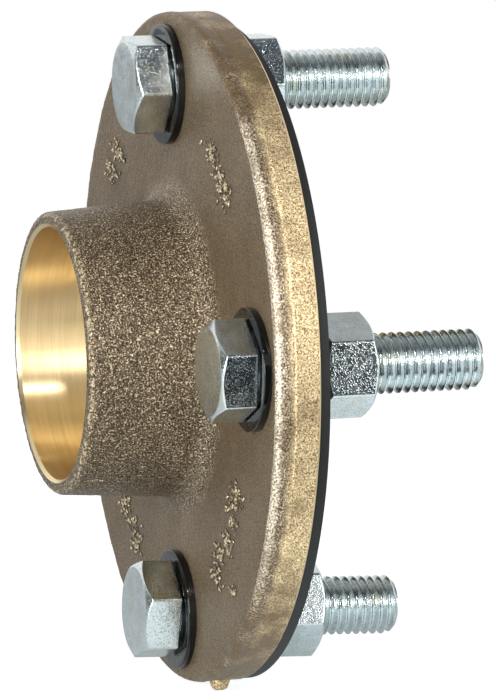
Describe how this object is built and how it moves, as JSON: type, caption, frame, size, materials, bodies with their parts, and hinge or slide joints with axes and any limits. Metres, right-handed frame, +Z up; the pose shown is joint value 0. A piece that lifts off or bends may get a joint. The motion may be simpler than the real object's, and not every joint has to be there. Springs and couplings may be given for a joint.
{
  "type": "pipe flange",
  "caption": "Round cast pipe flange with a turned socket hub for a soldered tube, a rubber face gasket and insulated hexagon bolts with nuts on its bolt circle.",
  "frame": {"origin": "centre of the pipe socket's mouth, at the end face of the hub", "axes": "+X along the pipe axis from the socket's mouth through the flange to the bolt tips, +Z up as pictured, one bolt straight up, -Y towards the camera"},
  "size_m": [0.0937, 0.1778, 0.1794],
  "materials": {
    "cast_bronze": "sand cast, dull brown, with a bright turned socket and a lighter rim",
    "gasket_rubber": "matt dark grey",
    "insulating_plastic": "glossy black",
    "zinc_plated_bolt": "bright zinc plate",
    "zinc_plated_nut": "bright zinc plate, scuffed flats"
  },
  "bodies": {
    "flange_set": {"flange_body": "cast_bronze", "gasket": "gasket_rubber", "bushing_top": "insulating_plastic", "bushing_front": "insulating_plastic", "bushing_bottom": "insulating_plastic", "bushing_rear": "insulating_plastic"},
    "bolt_top": {"hex_bolt_top": "zinc_plated_bolt"},
    "nut_top": {"hex_nut_top": "zinc_plated_nut"},
    "bolt_front": {"hex_bolt_front": "zinc_plated_bolt"},
    "nut_front": {"hex_nut_front": "zinc_plated_nut"},
    "bolt_bottom": {"hex_bolt_bottom": "zinc_plated_bolt"},
    "nut_bottom": {"hex_nut_bottom": "zinc_plated_nut"},
    "bolt_rear": {"hex_bolt_rear": "zinc_plated_bolt"},
    "nut_rear": {"hex_nut_rear": "zinc_plated_nut"}
  },
  "joints": [
    {"name": "bolt_turn_top", "type": "hinge", "parent": "flange_set", "child": "bolt_top", "pos_m": [0.0385, 0, 0.06985], "axis": [-1, 0, 0], "range_deg": [-93.5, 4770]},
    {"name": "nut_run_top", "type": "slide", "parent": "flange_set", "child": "nut_top", "axis": [1, 0, 0], "range_m": [-0.00061, 0.03061]},
    {"name": "bolt_turn_front", "type": "hinge", "parent": "flange_set", "child": "bolt_front", "pos_m": [0.0385, -0.06985, 0], "axis": [-1, 0, 0], "range_deg": [-187, 4677]},
    {"name": "nut_run_front", "type": "slide", "parent": "flange_set", "child": "nut_front", "axis": [1, 0, 0], "range_m": [-0.00121, 0.03001]},
    {"name": "bolt_turn_bottom", "type": "hinge", "parent": "flange_set", "child": "bolt_bottom", "pos_m": [0.038, 0, -0.06985], "axis": [-0.9992, 0, 0.0401], "range_deg": [-1254.8, 3429]},
    {"name": "nut_run_bottom", "type": "slide", "parent": "flange_set", "child": "nut_bottom", "axis": [0.9992, 0, -0.0401], "range_m": [-0.00806, 0.02201]},
    {"name": "bolt_turn_rear", "type": "hinge", "parent": "flange_set", "child": "bolt_rear", "pos_m": [0.0385, 0.06985, 0], "axis": [-1, 0, 0], "range_deg": [-140.3, 4723]},
    {"name": "nut_run_rear", "type": "slide", "parent": "flange_set", "child": "nut_rear", "axis": [1, 0, 0], "range_m": [-0.00091, 0.03031]}
  ],
  "couplings": [
    {"joint": "nut_run_top", "follows": "bolt_turn_top", "m_per_rad": 0.0003675},
    {"joint": "nut_run_front", "follows": "bolt_turn_front", "m_per_rad": 0.0003675},
    {"joint": "nut_run_bottom", "follows": "bolt_turn_bottom", "m_per_rad": 0.0003675},
    {"joint": "nut_run_rear", "follows": "bolt_turn_rear", "m_per_rad": 0.0003675}
  ]
}
